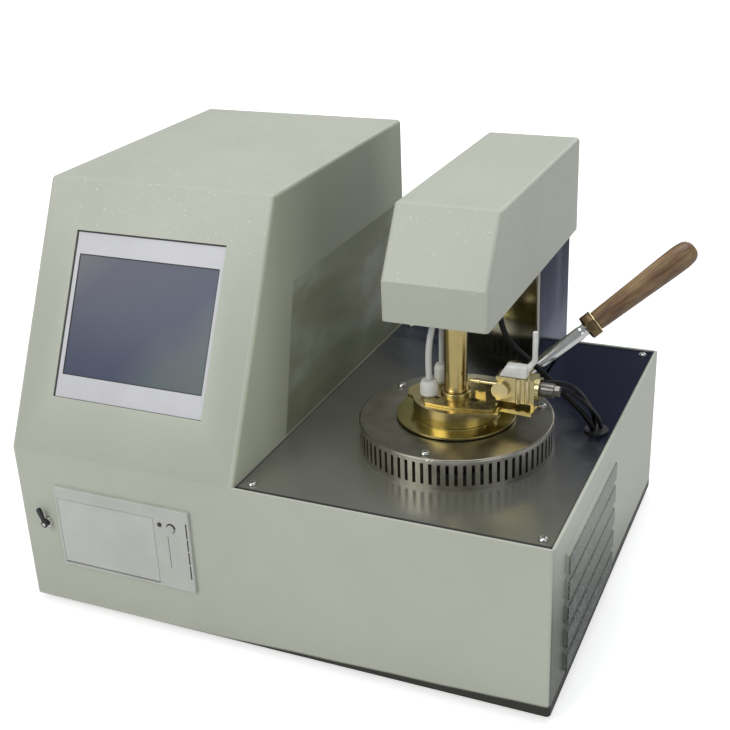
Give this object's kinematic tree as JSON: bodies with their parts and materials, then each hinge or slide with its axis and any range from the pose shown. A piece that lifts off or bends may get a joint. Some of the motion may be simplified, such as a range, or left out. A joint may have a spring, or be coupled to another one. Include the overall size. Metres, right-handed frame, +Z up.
{
  "type": "flash point tester",
  "caption": "Closed-cup flash point tester: a heated brass cup on a metal deck under a lifting head with stirrer, shutter and igniter, beside a sloped screen tower with a panel printer.",
  "frame": {"origin": "centre of the housing's footprint, on the plane of the feet", "axes": "+X to the instrument's right, +Y to its back, +Z up; the screen and printer face -Y"},
  "size_m": [0.4408, 0.3412, 0.307],
  "materials": {
    "housing_paint": "fine textured powder coat",
    "pan_paint": "fine textured powder coat",
    "black_rubber": "matt",
    "deck_steel": "brushed, dark",
    "rear_paint": "fine textured powder coat",
    "screw_steel": "bright",
    "bezel_white": "satin",
    "display_glass": "blue grey, dark when off",
    "printer_plastic": "satin",
    "door_plastic": "satin",
    "roller_rubber": "matt",
    "paper": "matt paper",
    "button_plastic": "satin",
    "lamp_lens": "clear dark lens",
    "valve_chrome": "bright",
    "lever_plastic": "gloss",
    "guard_steel": "brushed along its rim",
    "bath_metal": "turned",
    "heater_metal": "dull",
    "insulation": "mineral wool",
    "cup_brass": "polished",
    "handle_chrome": "bright",
    "ferrule_bronze": "dark",
    "grip_wood": "streaked, varnished",
    "cover_brass": "polished",
    "shutter_metal": "lapped",
    "sleeve_brass": "polished",
    "gear_brass": "machined",
    "motor_can": "dull",
    "stirrer_steel": "polished",
    "bracket_steel": "plain",
    "igniter_brass": "polished",
    "nozzle_metal": "polished",
    "ceramic_white": "ceramic, satin",
    "fitting_chrome": "dull",
    "probe_steel": "polished",
    "plug_white": "satin",
    "lead_white": "satin",
    "head_paint": "fine textured powder coat",
    "column_steel": "polished",
    "carriage_metal": "machined",
    "bushing_steel": "ground",
    "nut_brass": "machined",
    "screw_shaft": "rolled",
    "motor_black": "satin",
    "cable_black": "satin",
    "fan_plastic": "satin",
    "inlet_plastic": "satin",
    "barb_brass": "machined",
    "board_green": "solder mask",
    "supply_metal": "plain"
  },
  "bodies": {
    "base": {"housing_shell": "housing_paint", "base_pan": "pan_paint", "rubber_feet": "black_rubber", "deck_plate": "deck_steel", "rear_panel": "rear_paint", "cover_screws": "screw_steel", "lcd_bezel": "bezel_white", "lcd_glass": "display_glass", "printer_bezel": "printer_plastic", "status_led": "lamp_lens", "gas_valve_body": "valve_chrome", "guard_ring": "guard_steel", "heating_bath": "bath_metal", "heater_band": "heater_metal", "bath_insulation": "insulation", "guide_rods": "bushing_steel", "lift_frame": "bracket_steel", "lift_motor": "motor_black", "deck_gland": "black_rubber", "fan_frame": "fan_plastic", "power_inlet": "inlet_plastic", "gas_inlet": "barb_brass", "main_board": "board_green", "power_supply": "supply_metal", "head_cable": "cable_black", "igniter_leads": "cable_black"},
    "head": {"column": "column_steel", "carriage": "carriage_metal", "linear_bushings": "bushing_steel", "lift_nut": "nut_brass", "head_shell": "head_paint", "head_bottom": "head_paint", "head_frame": "bracket_steel", "motor_bracket": "bracket_steel", "stirrer_motor": "motor_can", "shutter_motor": "motor_can", "cover": "cover_brass", "igniter_block": "igniter_brass", "igniter_insulator": "ceramic_white", "gas_fitting": "fitting_chrome", "cup_probes": "probe_steel", "probe_connectors": "plug_white", "probe_leads": "lead_white"},
    "lead_screw": {"lead_screw": "screw_shaft"},
    "cup": {"test_cup": "cup_brass", "handle_rod": "handle_chrome", "handle_ferrule": "ferrule_bronze", "handle_grip": "grip_wood"},
    "stirrer": {"stirrer": "stirrer_steel"},
    "shutter": {"shutter": "shutter_metal", "shutter_sleeve": "sleeve_brass", "drive_gear": "gear_brass"},
    "pinion": {"drive_pinion": "gear_brass"},
    "igniter": {"igniter_nozzle": "nozzle_metal"},
    "printer_door": {"printer_door": "door_plastic"},
    "platen": {"platen_roller": "roller_rubber"},
    "paper_roll": {"paper_roll": "paper"},
    "feed_button": {"feed_button": "button_plastic"},
    "gas_valve": {"gas_valve_lever": "lever_plastic"},
    "fan_rotor": {"fan_rotor": "fan_plastic"}
  },
  "joints": [
    {"name": "head_lift", "type": "slide", "parent": "base", "child": "head", "axis": [0, 0, 1], "range_m": [0, 0.1], "deforming": ["head_cable", "igniter_leads"]},
    {"name": "lead_screw_turn", "type": "hinge", "parent": "base", "child": "lead_screw", "pos_m": [0.09375, 0.1075, 0.1], "axis": [0, 0, 1], "continuous": true},
    {"name": "cup_lift", "type": "slide", "parent": "base", "child": "cup", "axis": [0, 0, 1], "range_m": [0, 0.05]},
    {"name": "stirrer_spin", "type": "hinge", "parent": "head", "child": "stirrer", "pos_m": [0.0985, -0.0427, 0.2], "axis": [0, 0, 1], "continuous": true},
    {"name": "shutter_turn", "type": "hinge", "parent": "head", "child": "shutter", "pos_m": [0.0985, -0.0427, 0.168], "axis": [0, 0, 1], "range_deg": [0, 22]},
    {"name": "pinion_turn", "type": "hinge", "parent": "head", "child": "pinion", "pos_m": [0.0985, -0.0147, 0.235], "axis": [0, 0, 1], "range_deg": [-56, 1]},
    {"name": "igniter_dip", "type": "hinge", "parent": "head", "child": "igniter", "pos_m": [0.1324, -0.0507, 0.1787], "axis": [0, -1, 0], "range_deg": [0, 36.5]},
    {"name": "printer_door_hinge", "type": "hinge", "parent": "base", "child": "printer_door", "pos_m": [-0.124, -0.1573, 0.0447], "axis": [1, 0, 0], "range_deg": [0, 90]},
    {"name": "platen_turn", "type": "hinge", "parent": "printer_door", "child": "platen", "pos_m": [-0.1243, -0.1485, 0.0897], "axis": [1, 0, 0], "continuous": true},
    {"name": "paper_roll_turn", "type": "hinge", "parent": "base", "child": "paper_roll", "pos_m": [-0.1243, -0.132, 0.0647], "axis": [1, 0, 0], "continuous": true},
    {"name": "feed_button_press", "type": "slide", "parent": "base", "child": "feed_button", "axis": [0, 1, 0], "range_m": [0, 0.001], "stiffness_N_per_m": 600},
    {"name": "gas_valve_turn", "type": "hinge", "parent": "base", "child": "gas_valve", "pos_m": [-0.1775, -0.1605, 0.0735], "axis": [0, -1, 0], "range_deg": [-90, 0]},
    {"name": "fan_spin", "type": "hinge", "parent": "base", "child": "fan_rotor", "pos_m": [-0.09, 0.14, 0.068], "axis": [0, 1, 0], "continuous": true}
  ],
  "couplings": [
    {"joint": "lead_screw_turn", "follows": "head_lift", "rad_per_m": 785.4},
    {"joint": "cup_lift", "follows": "head_lift", "ratio": 0.5},
    {"joint": "pinion_turn", "follows": "shutter_turn", "ratio": -2.5},
    {"joint": "igniter_dip", "follows": "shutter_turn", "ratio": 1.6364},
    {"joint": "platen_turn", "follows": "paper_roll_turn", "ratio": -3.7778}
  ]
}
